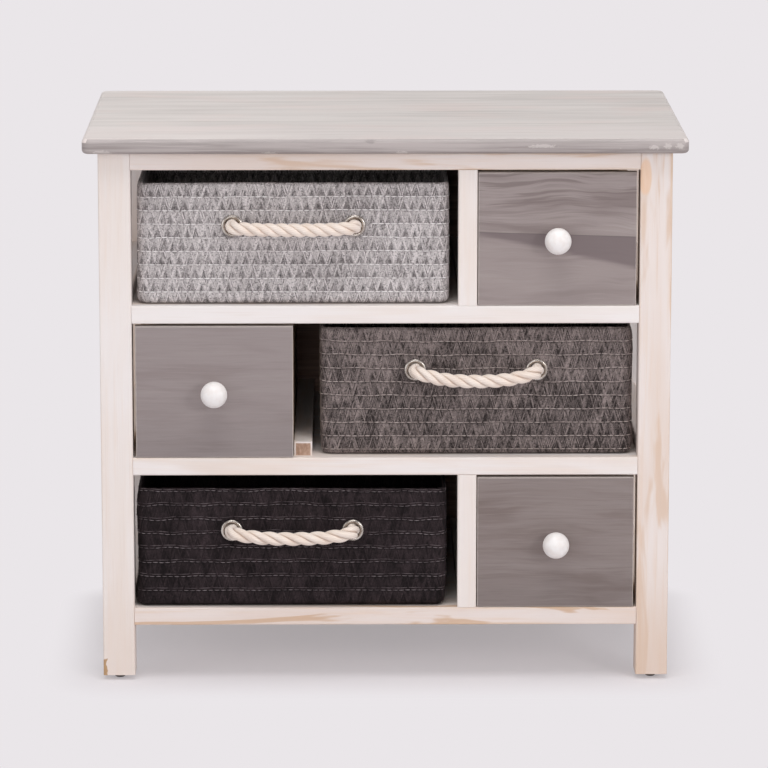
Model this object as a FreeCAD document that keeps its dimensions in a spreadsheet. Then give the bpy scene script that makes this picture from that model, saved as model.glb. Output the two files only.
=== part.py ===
import FreeCAD, Part
import math
import os
import Sketcher

# Driving sizes in millimetres
SIZES = {
    # Top board
    "top_width": 600,
    "top_depth": 380,
    "top_thick": 15,
    "top_edge_round": 4,
    "top_corner_round": 8,
    "side_overhang": 15,
    "front_overhang": 15,
    "back_overhang": 15,
    # Posts, rails and their tenons
    "post_side": 32,
    "leg_clear": 52,
    "rail_height": 18,
    "rail_depth": 18,
    "opening_height": 136.5,
    "side_rail_height": 32,
    "side_rail_thick": 18,
    "edge_ease": 1.5,
    "tenon_length": 14,
    "tenon_thick": 8,
    "tenon_shoulder": 3,
    "tenon_wall": 5,
    "tenon_fit": 0.15,
    # Shelves, dividers, guide strips and back panel
    "shelf_thick": 5,
    "shelf_housing": 6,
    "shelf_rebate": 8,
    "shelf_fit": 0.2,
    "narrow_bay": 161.5,
    "divider_width": 19,
    "peg_width": 10,
    "peg_thick": 6,
    "peg_length": 8,
    "guide_width": 18,
    "guide_height": 14,
    "guide_setback": 12,
    "back_panel_thick": 4,
    "back_panel_margin": 3,
    # Nailed foot glides
    "glide_height": 5,
    "glide_radius": 6,
    "glide_flat_radius": 4,
    "glide_dome_radius": 4,
    "nail_radius": 1.2,
    "nail_length": 12,
    "nail_fit": 0.1,
    # Drawers
    "drawer_rear_gap": 23,
    "drawer_front_thick": 12,
    "drawer_front_ease": 1,
    "drawer_side_thick": 9,
    "drawer_side_drop": 21.2,
    "drawer_bottom_thick": 3,
    "drawer_bottom_raise": 6,
    "drawer_groove": 4,
    "drawer_groove_fit": 0.2,
    "drawer_post_gap": 3.2,
    "drawer_guide_gap": 0.8,
    "drawer_top_gap": 2.5,
    "running_gap": 0.3,
    # Ball knobs and their screws
    "knob_radius": 13.25,
    "knob_reach": 28,
    "knob_neck_radius": 7,
    "screw_radius": 2,
    "screw_head_radius": 4,
    "screw_head_height": 2.5,
    "screw_bite": 14,
    "screw_fit": 0.25,
    # Woven baskets
    "basket_side_play": 15.5,
    "basket_end_play": 30,
    "basket_wall": 4,
    "basket_corner_round": 16,
    "basket_base_round": 12,
    "basket_headroom_lower": 13.7,
    "basket_headroom_middle": 5.7,
    "basket_headroom_upper": 13.2,
    "basket_recess_lower": 5,
    "basket_recess_middle": 14,
    "basket_recess_upper": 9,
    "basket_gap_lower": 4.3,
    "basket_gap_middle": 7,
    "basket_gap_upper": 6.5,
    # Eyelets and rope handles
    "eyelet_spacing": 122,
    "eyelet_drop": 44,
    "eyelet_radius": 11,
    "eyelet_bore_radius": 7.4,
    "eyelet_barrel_radius": 8.2,
    "eyelet_crown_radius": 1.9,
    "eyelet_clench_radius": 10.2,
    "eyelet_clench": 1,
    "eyelet_fit": 0.1,
    "rope_radius": 7,
    "rope_seat_gap": 0.3,
    "rope_knot_radius": 13,
    "rope_knot_length": 20,
    "rope_knot_round": 6,
    "rope_standoff": 16,
    "rope_mid_standoff": 15,
    "rope_bend_run": 33,
    "rope_sag_lower": 5.5,
    "rope_sag_middle": 9,
    "rope_sag_upper": 2,
    # How far a cut runs past the face that it opens
    "overrun": 1,
}

ROWS = ("lower", "middle", "upper")
ARC_SHARE = 0.45
ALONG_SHARE = 0.01
LEVEL_SHARE = 0.0001
PIPE_DRIFT_SHARE = 0.01

doc = FreeCAD.newDocument("chest")
sheet = doc.addObject("Spreadsheet::Sheet", "Sizes")
for row_number, (alias, amount) in enumerate(SIZES.items(), start=1):
    sheet.set(f"A{row_number}", alias)
    sheet.set(f"B{row_number}", str(amount))
    sheet.setAlias(f"B{row_number}", alias)
doc.recompute()


class Term:
    """A length worked out from the sheet: its text is bound, its value starts a sketch."""

    def __init__(self, text, value):
        self.text = text
        self.value = value

    def __add__(self, other):
        other = term(other)
        return Term(f"({self.text} + {other.text})", self.value + other.value)

    def __sub__(self, other):
        other = term(other)
        return Term(f"({self.text} - {other.text})", self.value - other.value)

    def __mul__(self, factor):
        return Term(f"({self.text} * {factor})", self.value * factor)

    def __truediv__(self, factor):
        return Term(f"({self.text} / {factor})", self.value / factor)

    def __neg__(self):
        return Term(f"(0 - {self.text})", -self.value)


def term(amount):
    return amount if isinstance(amount, Term) else Term(str(amount), amount)


def size(alias):
    return Term(f"Sizes.{alias}", float(sheet.get(alias)))


def leg(longest, other):
    """The third side of a right triangle."""
    value = math.sqrt(longest.value**2 - other.value**2)
    return Term(f"sqrt({longest.text}^2 - {other.text}^2)", value)


def bind(item, path, amount):
    item.setExpression(path, term(amount).text)


class Piece:
    """One sub-part: a body whose features are given by corners in the frame of the chest."""

    def __init__(self, label, origin):
        self.origin = [term(place) for place in origin]
        self.body = doc.addObject("PartDesign::Body", label)
        self.body.Label = label
        for axis, place in zip("xyz", self.origin):
            bind(self.body, f"Placement.Base.{axis}", place)

    def local(self, point):
        return [term(place) - start for place, start in zip(point, self.origin)]

    def feature(self, kind):
        return self.body.newObject(f"PartDesign::{kind}", f"{self.body.Label}_{kind}")

    def block(self, low, high, kind="AdditiveBox"):
        box = self.feature(kind)
        for name, start, end in zip(("Length", "Width", "Height"), low, high):
            bind(box, name, term(end) - start)
        for axis, place in zip("xyz", self.local(low)):
            bind(box, f"Placement.Base.{axis}", place)
        return box

    def cut(self, low, high):
        return self.block(low, high, "SubtractiveBox")

    def bore(self, start, radius, length, direction):
        hole = self.feature("SubtractiveCylinder")
        turn = FreeCAD.Rotation(FreeCAD.Vector(0, 0, 1), FreeCAD.Vector(*direction))
        hole.Placement = FreeCAD.Placement(FreeCAD.Vector(), turn)
        bind(hole, "Radius", radius)
        bind(hole, "Height", length)
        for axis, place in zip("xyz", self.local(start)):
            bind(hole, f"Placement.Base.{axis}", place)
        return hole

    def ease(self, base, chosen, radius):
        doc.recompute()
        edges = enumerate(base.Shape.Edges, start=1)
        names = [f"Edge{number}" for number, edge in edges if chosen(edge)]
        fillet = self.feature("Fillet")
        fillet.Base = (base, names)
        bind(fillet, "Radius", radius)
        return fillet

    def turned(self, corners, arcs=()):
        """Revolves an outline of (radius, height) corners round the body's Y axis."""
        sketch = self.body.newObject("Sketcher::SketchObject", f"{self.body.Label}_outline")
        sketch.AttachmentSupport = [(origin_plane(self.body, "XY_Plane"), "")]
        sketch.MapMode = "FlatFace"
        draw_outline(sketch, corners, dict(arcs))
        turn = self.feature("Revolution")
        turn.Profile = sketch
        turn.ReferenceAxis = (sketch, ["V_Axis"])
        return turn


def origin_plane(body, role):
    return next(plane for plane in body.Origin.OriginFeatures if plane.Role == role)


def draw_outline(sketch, corners, arcs):
    """Joins corners by lines, or by an arc of a bound radius where arcs names one."""
    corners = [(term(across), term(up)) for across, up in corners]
    points = [FreeCAD.Vector(across.value, up.value, 0) for across, up in corners]
    for number, start in enumerate(points):
        end = points[(number + 1) % len(points)]
        if number in arcs:
            radius, sense = arcs[number]
            sketch.addGeometry(arc_between(start, end, term(radius).value, sense))
        else:
            sketch.addGeometry(Part.LineSegment(start, end))
    for number, (across, up) in enumerate(corners):
        first = 2 if arcs.get(number, (0, 1))[1] < 0 else 1
        before = (number - 1) % len(corners)
        last = 1 if arcs.get(before, (0, 1))[1] < 0 else 2
        sketch.addConstraint(Sketcher.Constraint("Coincident", before, last, number, first))
        hold(sketch, "DistanceX", number, first, across, -2)
        hold(sketch, "DistanceY", number, first, up, -1)
    for number, (radius, sense) in arcs.items():
        added = sketch.addConstraint(Sketcher.Constraint("Radius", number, term(radius).value))
        bind(sketch, f"Constraints[{added}]", radius)


def arc_between(start, end, radius, sense):
    """The short arc from start to end; sense 1 bulges to the right of that way, -1 to its left."""
    chord = end - start
    middle = (start + end) / 2
    rise = math.sqrt(radius**2 - (chord.Length / 2) ** 2)
    left = FreeCAD.Vector(-chord.y, chord.x, 0) / chord.Length
    centre = middle + left * (rise * sense)
    crest = centre - left * (radius * sense)
    return Part.Arc(start, crest, end)


def hold(sketch, kind, number, end, amount, axis):
    """Fixes one coordinate of a point: on the axis where it is zero, at a bound distance elsewhere."""
    if amount.value == 0:
        sketch.addConstraint(Sketcher.Constraint("PointOnObject", number, end, axis))
        return
    distance = Sketcher.Constraint(kind, -1, 1, number, end, amount.value)
    added = sketch.addConstraint(distance)
    bind(sketch, f"Constraints[{added}]", amount)


def grown(box, fit):
    low, high = box
    return [term(place) - fit for place in low], [term(place) + fit for place in high]


def along(axis):
    """Chooses the straight edges that run along one axis."""

    def chosen(edge):
        start, end = (vertex.Point for vertex in edge.Vertexes)
        run = end - start
        return abs(abs(run[axis]) - run.Length) < run.Length * ALONG_SHARE

    return chosen


def at_height(height):
    """Chooses the edges that lie level at a height."""

    def chosen(edge):
        box = edge.BoundBox
        near = edge.Length * LEVEL_SHARE
        return abs(box.ZMin - height) < near and abs(box.ZMax - height) < near

    return chosen


# Places of the frame: x from the middle, y from the front back, z from the floor up
half_frame = size("top_width") / 2 - size("side_overhang")
half_inner = half_frame - size("post_side")
middle_depth = (size("top_depth") + size("front_overhang") - size("knob_reach")) / 2
top_front = -middle_depth
front = top_front + size("front_overhang")
back = top_front + size("top_depth") - size("back_overhang")
post_floor = size("glide_height")
pitch = size("rail_height") + size("opening_height")
levels = {"lower": post_floor + size("leg_clear")}
levels["middle"] = levels["lower"] + pitch
levels["upper"] = levels["middle"] + pitch
levels["top"] = levels["upper"] + pitch
frame_top = levels["top"] + size("rail_height")
shelf_tops = {row: levels[row] + size("rail_height") for row in ROWS}
sides = {"left": -1, "right": 1}
narrow_sides = {"lower": "right", "middle": "left", "upper": "right"}
divided_rows = ("lower", "upper")
rail_over = {"lower": "middle", "middle": "upper", "upper": "top"}
half_narrow = half_inner - size("narrow_bay")
wide_bay = half_inner + half_narrow - size("divider_width")
basket_width = wide_bay - size("basket_side_play")
basket_depth = back - front - size("basket_end_play")


def spread(side, inner, outer):
    """Low and high x of a span given by its distances from the middle plane."""
    inner, outer = term(inner), term(outer)
    return (inner, outer) if sides[side] > 0 else (-outer, -inner)


def middle_of(start, end):
    return (term(start) + end) / 2


def make_top():
    low = [-(size("top_width") / 2), top_front, frame_top]
    high = [size("top_width") / 2, top_front + size("top_depth"), frame_top + size("top_thick")]
    piece = Piece("top_board", low)
    blank = piece.block(low, high)
    cornered = piece.ease(blank, along(2), size("top_corner_round"))
    thick = size("top_thick").value
    piece.ease(
        cornered,
        lambda edge: at_height(0)(edge) or at_height(thick)(edge),
        size("top_edge_round"),
    )


def cross_tenon(side, level, height, depth_middle):
    """A tenon that runs sideways from a front or back rail into a post."""
    start, end = spread(side, half_inner, half_inner + size("tenon_length"))
    half = size("tenon_thick") / 2
    low = [start, depth_middle - half, level + size("tenon_shoulder")]
    high = [end, depth_middle + half, level + height - size("tenon_shoulder")]
    return low, high


def side_tenon(side, level, height, near_front):
    """A tenon that runs from a side rail forward or back into a post."""
    middle = half_inner + size("side_rail_thick") / 2
    half = size("tenon_thick") / 2
    start, end = spread(side, middle - half, middle + half)
    face = front + size("post_side") if near_front else back - size("post_side")
    crossing = (size("rail_depth") + size("tenon_thick")) / 2
    reach = size("post_side") - crossing - size("tenon_wall")
    depths = (face - reach, face) if near_front else (face, face + reach)
    low = [start, depths[0], level + size("tenon_shoulder")]
    high = [end, depths[1], level + height - size("tenon_shoulder")]
    return low, high


def peg(row, upper_end):
    """The stub of a divider that stands in the rail under or over it."""
    middle = middle_of(*divider_span(row))
    half = size("peg_width") / 2
    depth = front + (size("rail_depth") - size("shelf_rebate")) / 2
    half_thick = size("peg_thick") / 2
    floor = levels[rail_over[row]] if upper_end else shelf_tops[row] - size("peg_length")
    low = [middle - half, depth - half_thick, floor]
    high = [middle + half, depth + half_thick, floor + size("peg_length")]
    return low, high


def divider_span(row):
    return spread(narrow_sides[row], half_narrow - size("divider_width"), half_narrow)


rail_middle = front + size("rail_depth") / 2
back_rail_middle = back - size("rail_depth") / 2
back_rail_levels = {"top": levels["top"], "lower": levels["lower"]}
back_rail_heights = {
    "top": size("rail_height"),
    "lower": size("rail_height") - size("shelf_thick"),
}
side_rail_heights = {level: size("side_rail_height") for level in ROWS}
side_rail_heights["top"] = size("rail_height")


def make_post(side, near_front):
    start, end = spread(side, half_inner, half_frame)
    face = front if near_front else back - size("post_side")
    low = [start, face, post_floor]
    high = [end, face + size("post_side"), frame_top]
    piece = Piece(f"post_{'front' if near_front else 'back'}_{side}", low)
    piece.ease(piece.block(low, high), along(2), size("edge_ease"))
    cross_levels = levels if near_front else back_rail_levels
    for name, level in cross_levels.items():
        height = size("rail_height") if near_front else back_rail_heights[name]
        depth = rail_middle if near_front else back_rail_middle
        piece.cut(*grown(cross_tenon(side, level, height, depth), size("tenon_fit")))
    for name, level in levels.items():
        tenon = side_tenon(side, level, side_rail_heights[name], near_front)
        piece.cut(*grown(tenon, size("tenon_fit")))
    nail = [middle_of(start, end), face + size("post_side") / 2, post_floor - size("overrun")]
    depth = size("nail_length") + size("nail_fit") + size("overrun")
    piece.bore(nail, size("nail_radius") + size("nail_fit"), depth, (0, 0, 1))


def make_front_rail(name):
    level = levels[name]
    low = [-half_inner, front, level]
    high = [half_inner, front + size("rail_depth"), level + size("rail_height")]
    piece = Piece(f"front_rail_{name}", low)
    blank = piece.block(low, high)

    def front_edges(edge):
        return along(0)(edge) and edge.BoundBox.YMax < size("edge_ease").value

    piece.ease(blank, front_edges, size("edge_ease"))
    for side in sides:
        piece.block(*cross_tenon(side, level, size("rail_height"), rail_middle))
    if name in ROWS:
        rebate = high[1] - size("shelf_rebate")
        floor = high[2] - size("shelf_thick")
        past = size("overrun")
        piece.cut([low[0] - past, rebate, floor], [high[0] + past, high[1] + past, high[2] + past])
    for row in divided_rows:
        if row == name:
            piece.cut(*grown(peg(row, False), size("tenon_fit")))
        if rail_over[row] == name:
            piece.cut(*grown(peg(row, True), size("tenon_fit")))


def make_side_rail(side, name):
    level, height = levels[name], side_rail_heights[name]
    start, end = spread(side, half_inner, half_inner + size("side_rail_thick"))
    low = [start, front + size("post_side"), level]
    high = [end, back - size("post_side"), level + height]
    piece = Piece(f"side_rail_{side}_{name}", low)
    piece.ease(piece.block(low, high), along(1), size("edge_ease"))
    for near_front in (True, False):
        piece.block(*side_tenon(side, level, height, near_front))
    if name in ROWS:
        past = size("overrun")
        inside, housed = spread(side, half_inner - past, half_inner + size("shelf_housing"))
        floor = shelf_tops[name] - size("shelf_thick") - size("shelf_fit")
        ceiling = shelf_tops[name] + size("shelf_fit")
        piece.cut([inside, low[1], floor], [housed, high[1], ceiling])


def make_back_rail(name):
    level, height = back_rail_levels[name], back_rail_heights[name]
    low = [-half_inner, back - size("rail_depth"), level]
    high = [half_inner, back, level + height]
    piece = Piece(f"back_rail_{name}", low)
    piece.block(low, high)
    for side in sides:
        piece.block(*cross_tenon(side, level, height, back_rail_middle))


def make_back_panel():
    margin = size("back_panel_margin")
    low = [margin - half_frame, back, levels["lower"]]
    high = [half_frame - margin, back + size("back_panel_thick"), frame_top]
    Piece("back_panel", low).block(low, high)


def make_shelf(row):
    """A thin panel, notched round the posts and housed in the side rails."""
    fit = size("shelf_fit")
    ceiling = shelf_tops[row]
    floor = ceiling - size("shelf_thick")
    half = half_inner - fit
    start = front + size("rail_depth") - size("shelf_rebate") + fit
    low = [-half, start, floor]
    piece = Piece(f"shelf_{row}", low)
    piece.block(low, [half, back, ceiling])
    wing = half_inner + size("shelf_housing") - fit
    wing_front = front + size("post_side") + fit
    wing_back = back - size("post_side") - fit
    piece.block([-wing, wing_front, floor], [wing, wing_back, ceiling])


def make_divider(row):
    start, end = divider_span(row)
    low = [start, front, shelf_tops[row]]
    high = [end, front + size("rail_depth"), shelf_tops[row] + size("opening_height")]
    piece = Piece(f"divider_{row}", low)

    def front_edges(edge):
        return along(2)(edge) and edge.BoundBox.YMax < size("edge_ease").value

    piece.ease(piece.block(low, high), front_edges, size("edge_ease"))
    for upper_end in (True, False):
        piece.block(*peg(row, upper_end))


def make_guide(row):
    """A strip on the shelf that keeps the drawer in its lane."""
    start, end = spread(narrow_sides[row], half_narrow - size("guide_width"), half_narrow)
    setback = size("rail_depth") if row in divided_rows else size("guide_setback")
    low = [start, front + setback, shelf_tops[row]]
    high = [end, back, shelf_tops[row] + size("guide_height")]
    Piece(f"guide_{row}", low).block(low, high)


def mirrored_once(piece, original, role):
    mirror = piece.feature("Mirrored")
    mirror.Originals = [original]
    mirror.MirrorPlane = (origin_plane(piece.body, role), [""])
    piece.body.Tip = mirror
    return mirror


def make_glides():
    """Four domed glides with nails, turned about upright axes at the posts' middles."""
    glides = []
    for side in sides:
        for near_front in (True, False):
            glides.append(make_glide(side, near_front))
    group = doc.addObject("Part::Compound", "foot_glides")
    group.Label = "foot_glides"
    group.Links = glides


def make_glide(side, near_front):
    middle = middle_of(*spread(side, half_inner, half_frame))
    depth = front if near_front else back - size("post_side")
    place = [middle, depth + size("post_side") / 2, 0]
    piece = Piece(f"glide_{'front' if near_front else 'back'}_{side}", place)
    nail_top = size("glide_height") + size("nail_length")
    corners = [
        (0, 0),
        (size("glide_flat_radius"), 0),
        (size("glide_radius"), size("glide_height")),
        (size("nail_radius"), size("glide_height")),
        (size("nail_radius"), nail_top),
        (0, nail_top),
    ]
    piece.turned(corners, {1: (size("glide_dome_radius"), 1)})
    piece.body.Placement.Rotation = FreeCAD.Rotation(FreeCAD.Vector(1, 0, 0), 90)
    return piece.body


def make_drawer(row):
    """A flush front with a knob, two sides, a back and a thin bottom in grooves."""
    side = narrow_sides[row]
    inner = half_narrow + size("drawer_guide_gap")
    outer = half_inner - size("drawer_post_gap")
    left, right = spread(side, inner, outer)
    floor = shelf_tops[row] + size("running_gap")
    ceiling = shelf_tops[row] + size("opening_height") - size("drawer_top_gap")
    rear = back - size("drawer_rear_gap")
    front_back = front + size("drawer_front_thick")
    box_top = ceiling - size("drawer_side_drop")
    panel_floor = floor + size("drawer_bottom_raise")
    panel_top = panel_floor + size("drawer_bottom_thick")
    fit = size("drawer_groove_fit")
    groove = size("drawer_groove")
    wall = size("drawer_side_thick")
    past = size("overrun")
    knob_x = middle_of(left, right)
    knob_z = middle_of(floor, ceiling)

    board = Piece(f"drawer_{row}_front", [left, front, floor])
    blank = board.block([left, front, floor], [right, front_back, ceiling])
    ease = size("drawer_front_ease")
    board.ease(blank, lambda edge: edge.BoundBox.YMax < ease.value, ease)
    board.cut(
        [left + wall - groove, front_back - groove, panel_floor - fit],
        [right - wall + groove, front_back + past, panel_top + fit],
    )
    hole = [knob_x, front - past, knob_z]
    through = size("drawer_front_thick") + past * 2
    board.bore(hole, size("screw_radius") + size("screw_fit"), through, (0, 1, 0))

    for name, start, end in (("left", left, left + wall), ("right", right - wall, right)):
        plank = Piece(f"drawer_{row}_side_{name}", [start, front_back, floor])
        plank.block([start, front_back, floor], [end, rear, box_top])
        depths = (end - groove, end + past) if name == "left" else (start - past, start + groove)
        plank.cut(
            [depths[0], front_back - past, panel_floor - fit],
            [depths[1], rear + past, panel_top + fit],
        )

    behind = rear - wall
    rear_low = [left + wall, behind, panel_top + fit]
    Piece(f"drawer_{row}_back", rear_low).block(rear_low, [right - wall, rear, box_top])

    panel_low = [left + wall - groove + fit, front_back - groove + fit, panel_floor]
    panel_high = [right - wall + groove - fit, rear, panel_top]
    Piece(f"drawer_{row}_bottom", panel_low).block(panel_low, panel_high)

    make_knob(row, [knob_x, front, knob_z])
    make_knob_screw(row, [knob_x, front_back, knob_z])


def make_knob(row, place):
    """A ball on a short neck, turned about an axis that points out of the drawer."""
    piece = Piece(f"drawer_{row}_knob", place)
    ball, neck, reach = size("knob_radius"), size("knob_neck_radius"), size("knob_reach")
    join = reach - ball - leg(ball, neck)
    corners = [(0, 0), (neck, 0), (neck, join), (0, reach)]
    piece.turned(corners, {2: (ball, 1)})
    pilot = size("screw_radius") + size("screw_fit")
    past = size("overrun")
    depth = size("screw_bite") + size("screw_fit") + past
    piece.bore([place[0], place[1] - past, place[2]], pilot, depth, (0, 1, 0))
    piece.body.Placement.Rotation = FreeCAD.Rotation(FreeCAD.Vector(0, 0, 1), 180)


def make_knob_screw(row, place):
    """A round-headed screw from inside the drawer, through its front and into the knob."""
    piece = Piece(f"drawer_{row}_knob_screw", place)
    head = size("screw_head_height")
    tip = size("drawer_front_thick") + size("screw_bite")
    corners = [
        (0, 0),
        (size("screw_radius"), 0),
        (size("screw_radius"), tip),
        (size("screw_head_radius"), tip),
        (size("screw_head_radius"), tip + head),
        (0, tip + head),
    ]
    piece.turned(corners)
    bind(piece.body, "Placement.Base.y", place[1] - tip)


def make_basket(row):
    """An open woven box with two eyelets in its front and a rope handle through them."""
    side = narrow_sides[row]
    away = "left" if side == "right" else "right"
    outer = half_inner - size(f"basket_gap_{row}")
    left, right = spread(away, outer - basket_width, outer)
    face = front + size(f"basket_recess_{row}")
    floor = shelf_tops[row] + size("running_gap")
    rim = shelf_tops[row] + size("opening_height") - size(f"basket_headroom_{row}")
    wall = size("basket_wall")
    middle = middle_of(left, right)
    eyelet_z = rim - size("eyelet_drop")

    shell = Piece(f"basket_{row}_shell", [left, face, floor])
    high = [right, face + basket_depth, rim]
    cornered = shell.ease(
        shell.block([left, face, floor], high), along(2), size("basket_corner_round")
    )
    footed = shell.ease(cornered, at_height(0), size("basket_base_round"))
    doc.recompute()
    tall = (rim - floor).value
    faces = enumerate(footed.Shape.Faces, start=1)
    mouth = [f"Face{number}" for number, side_face in faces if side_face.BoundBox.ZMin > tall / 2]
    hollow = shell.feature("Thickness")
    hollow.Base = (footed, mouth)
    hollow.Reversed = True
    bind(hollow, "Value", wall)
    half_span = size("eyelet_spacing") / 2
    hole_radius = size("eyelet_barrel_radius") + size("eyelet_fit")
    for x in (middle - half_span, middle + half_span):
        start = [x, face - size("overrun"), eyelet_z]
        shell.bore(start, hole_radius, wall + size("overrun") * 2, (0, 1, 0))

    make_eyelets(row, [middle, face, eyelet_z])
    make_rope(row, [middle, face, eyelet_z])


def make_eyelets(row, place):
    """Two rolled rings, each with a barrel through the wall and a clenched rim behind it."""
    ring = Piece(f"basket_{row}_eyelets", place)
    half_span = size("eyelet_spacing") / 2
    rear = size("basket_wall")
    end = rear + size("eyelet_clench")
    corners = [
        (half_span + size("eyelet_bore_radius"), 0),
        (half_span + size("eyelet_bore_radius"), end),
        (half_span + size("eyelet_clench_radius"), end),
        (half_span + size("eyelet_clench_radius"), rear),
        (half_span + size("eyelet_barrel_radius"), rear),
        (half_span + size("eyelet_barrel_radius"), 0),
        (half_span + size("eyelet_radius"), 0),
    ]
    sketch = ring.body.newObject("Sketcher::SketchObject", f"{ring.body.Label}_outline")
    sketch.AttachmentSupport = [(origin_plane(ring.body, "XY_Plane"), "")]
    sketch.MapMode = "FlatFace"
    draw_outline(sketch, corners, {6: (size("eyelet_crown_radius"), -1)})
    axis = sketch.addGeometry(
        Part.LineSegment(
            FreeCAD.Vector(half_span.value, 0, 0),
            FreeCAD.Vector(half_span.value, rear.value, 0),
        ),
        True,
    )
    hold(sketch, "DistanceX", axis, 1, half_span, -2)
    hold(sketch, "DistanceY", axis, 1, term(0), -1)
    hold(sketch, "DistanceX", axis, 2, half_span, -2)
    hold(sketch, "DistanceY", axis, 2, rear, -1)
    turn = ring.feature("Revolution")
    turn.Profile = sketch
    turn.ReferenceAxis = (sketch, ["Axis0"])
    mirrored_once(ring, turn, "YZ_Plane")


def make_rope(row, place):
    """A rope from knot to knot: out through one eyelet, along the front and back in."""
    radius = size("rope_radius").value
    half_span = size("eyelet_spacing").value / 2
    knot_face = (size("basket_wall") + size("eyelet_clench") + size("rope_seat_gap")).value
    knot_length = size("rope_knot_length").value
    inside = knot_face + knot_length / 2
    turn_x = half_span - size("rope_bend_run").value
    low = -size(f"rope_sag_{row}").value
    out = -size("rope_standoff").value
    mid_out = -size("rope_mid_standoff").value
    route = [
        FreeCAD.Vector(-half_span, inside, 0),
        FreeCAD.Vector(-half_span, out, 0),
        FreeCAD.Vector(-turn_x, mid_out, low),
        FreeCAD.Vector(turn_x, mid_out, low),
        FreeCAD.Vector(half_span, out, 0),
        FreeCAD.Vector(half_span, inside, 0),
    ]
    path = rounded_path(route, f"rope {row}")
    ring = Part.Wire(Part.makeCircle(radius, route[0], FreeCAD.Vector(0, -1, 0)))
    tube = path.makePipeShell([ring], True, False)
    drift = abs(tube.Volume / (math.pi * radius**2 * path.Length) - 1)
    if drift > PIPE_DRIFT_SHARE:
        raise RuntimeError(f"rope {row}: volume is off by {drift:.4f}")
    knots = [rope_knot(end * half_span, knot_face, knot_length) for end in (-1, 1)]
    item = doc.addObject("Part::Feature", f"basket_{row}_rope")
    item.Label = f"basket_{row}_rope"
    item.Shape = tube.fuse(knots).removeSplitter()
    for axis, amount in zip("xyz", place):
        bind(item, f"Placement.Base.{axis}", amount)


def rope_knot(x, start, length):
    """The outer shape of a knot: a round-edged barrel whose face seats on the eyelet."""
    radius = size("rope_knot_radius").value
    barrel = Part.makeCylinder(radius, length, FreeCAD.Vector(x, start, 0), FreeCAD.Vector(0, 1, 0))
    rims = [edge for edge in barrel.Edges if len(edge.Vertexes) == 1]
    return barrel.makeFillet(size("rope_knot_round").value, rims)


def rounded_path(route, name):
    """Straight runs joined by tangent arcs that are as large as the runs allow."""
    edges = []
    last = route[0]
    radii = []
    for before, corner, after in zip(route, route[1:], route[2:]):
        back_way, on_way = before - corner, after - corner
        turn = math.pi - back_way.getAngle(on_way)
        trim = ARC_SHARE * min(back_way.Length, on_way.Length)
        radius = trim / math.tan(turn / 2)
        radii.append(radius)
        back_way.normalize()
        on_way.normalize()
        start, end = corner + back_way * trim, corner + on_way * trim
        inward = back_way + on_way
        inward.normalize()
        crest = corner + inward * (radius / math.cos(turn / 2) - radius)
        edges.append(Part.LineSegment(last, start).toShape())
        edges.append(Part.Arc(start, crest, end).toShape())
        last = end
    edges.append(Part.LineSegment(last, route[-1]).toShape())
    path = Part.Wire(edges)
    print(f"{name}: length {path.Length:.1f}, radii", [round(radius, 1) for radius in radii])
    return path


def node_items():
    """The sub-parts: bodies that no group holds, groups and shaped features."""
    kinds = ("PartDesign::Body", "Part::Compound", "Part::Feature")
    grouped = {link for item in doc.Objects if item.TypeId == "Part::Compound" for link in item.Links}
    return [item for item in doc.Objects if item.TypeId in kinds and item not in grouped]


def check():
    for item in doc.Objects:
        if "Invalid" in item.State or "Error" in item.State:
            raise RuntimeError(f"{item.Label} failed: {item.State}")
        if item.TypeId.startswith("PartDesign::Subtractive"):
            if item.Shape.Volume >= item.BaseFeature.Shape.Volume:
                raise RuntimeError(f"{item.Label} cuts nothing")
    for item in node_items():
        if item.Shape.isNull() or not item.Shape.isValid():
            raise RuntimeError(f"{item.Label} has no valid shape")


make_top()
for side in sides:
    for near_front in (True, False):
        make_post(side, near_front)
    for name in levels:
        make_side_rail(side, name)
for name in levels:
    make_front_rail(name)
for name in back_rail_levels:
    make_back_rail(name)
make_back_panel()
make_glides()
for row in divided_rows:
    make_divider(row)
for row in ROWS:
    make_shelf(row)
    make_guide(row)
    make_drawer(row)
    make_basket(row)

doc.recompute()
check()
os.makedirs("parts", exist_ok=True)
for item in node_items():
    item.Shape.exportStep(f"parts/{item.Label}.step")
    print(item.Label, len(item.Shape.Solids), round(item.Shape.Volume / 1000, 2))
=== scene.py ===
import math
from functools import partialmethod

import bpy
import numpy as np
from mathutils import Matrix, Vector


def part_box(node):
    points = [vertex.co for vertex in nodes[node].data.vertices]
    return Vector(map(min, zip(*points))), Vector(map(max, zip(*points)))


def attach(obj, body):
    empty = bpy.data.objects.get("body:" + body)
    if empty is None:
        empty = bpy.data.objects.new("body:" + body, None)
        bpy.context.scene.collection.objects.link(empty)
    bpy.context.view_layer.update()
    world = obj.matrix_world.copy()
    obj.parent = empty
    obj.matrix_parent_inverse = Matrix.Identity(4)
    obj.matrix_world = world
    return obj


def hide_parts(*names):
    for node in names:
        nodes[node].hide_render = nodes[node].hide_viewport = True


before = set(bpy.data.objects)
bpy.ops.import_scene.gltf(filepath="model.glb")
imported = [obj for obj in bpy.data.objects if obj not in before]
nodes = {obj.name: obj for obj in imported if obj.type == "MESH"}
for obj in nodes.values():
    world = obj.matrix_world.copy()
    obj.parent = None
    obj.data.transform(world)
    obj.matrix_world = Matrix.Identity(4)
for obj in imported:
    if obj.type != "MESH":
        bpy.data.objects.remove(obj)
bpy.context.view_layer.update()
scene = bpy.context.scene
ROWS = ("lower", "middle", "upper")
MM = 0.001


def tone(red, green, blue):
    """An sRGB colour, 0 to 255, as the linear colour that shaders take."""
    parts = [c / 255 for c in (red, green, blue)]
    return (*[c / 12.92 if c <= 0.04045 else ((c + 0.055) / 1.055) ** 2.4 for c in parts], 1.0)


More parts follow.
